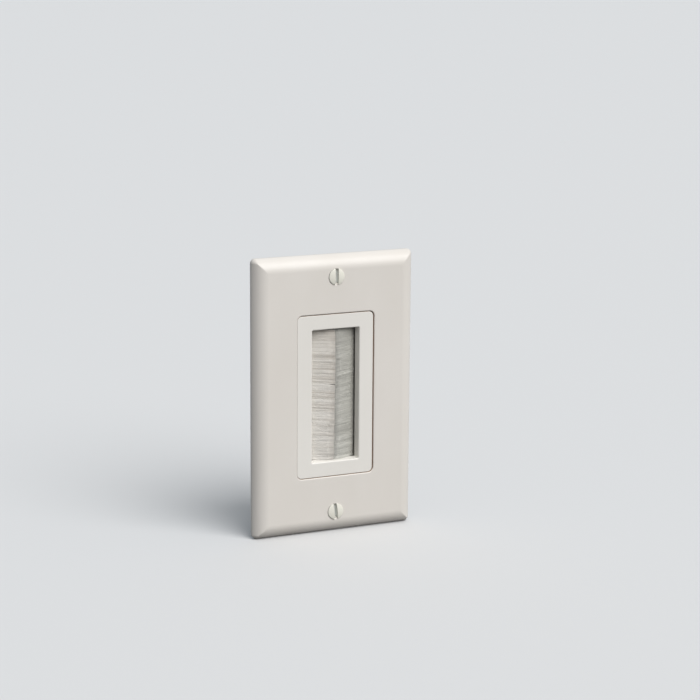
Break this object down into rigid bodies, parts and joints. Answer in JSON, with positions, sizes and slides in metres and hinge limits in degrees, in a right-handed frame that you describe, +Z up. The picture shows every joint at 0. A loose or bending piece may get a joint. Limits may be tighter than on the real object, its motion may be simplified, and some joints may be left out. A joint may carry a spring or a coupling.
{
  "type": "brush wall plate",
  "caption": "Wall cover plate with a separate insert whose window is closed by facing strip brushes, so that cables can pass through the wall.",
  "frame": {"origin": "centre of the plate's outline on the wall plane, midway between the two screws that hold the insert to a box or bracket in the wall", "axes": "+Z up the wall, +Y into the wall, +X to the right for someone who faces the plate; the front faces -Y"},
  "size_m": [0.0698, 0.0235, 0.1142],
  "materials": {
    "plate_plastic": "satin moulded plastic, warm off-white",
    "insert_plastic": "satin moulded plastic, off-white",
    "clamp_plastic": "matt moulded plastic",
    "nylon_filament": "dense soft filaments, pale grey-beige",
    "galvanised_strip": "galvanised folded strip",
    "steel_wire": "drawn wire",
    "screw_enamel": "cream enamel, gloss",
    "zinc_steel": "zinc plated steel",
    "retainer_fibre": "hard pressed fibre"
  },
  "bodies": {
    "root": {"cover_plate": "plate_plastic", "brush_insert": "insert_plastic", "rear_clamp_frame": "clamp_plastic", "left_brush_channel": "galvanised_strip", "right_brush_channel": "galvanised_strip", "left_core_wire": "steel_wire", "right_core_wire": "steel_wire", "left_bristles": "nylon_filament", "right_bristles": "nylon_filament", "upper_plate_screw": "screw_enamel", "lower_plate_screw": "screw_enamel", "upper_box_screw": "zinc_steel", "lower_box_screw": "zinc_steel", "upper_left_clamp_screw": "zinc_steel", "upper_right_clamp_screw": "zinc_steel", "lower_left_clamp_screw": "zinc_steel", "lower_right_clamp_screw": "zinc_steel", "upper_screw_retainer": "retainer_fibre", "lower_screw_retainer": "retainer_fibre"}
  },
  "joints": []
}
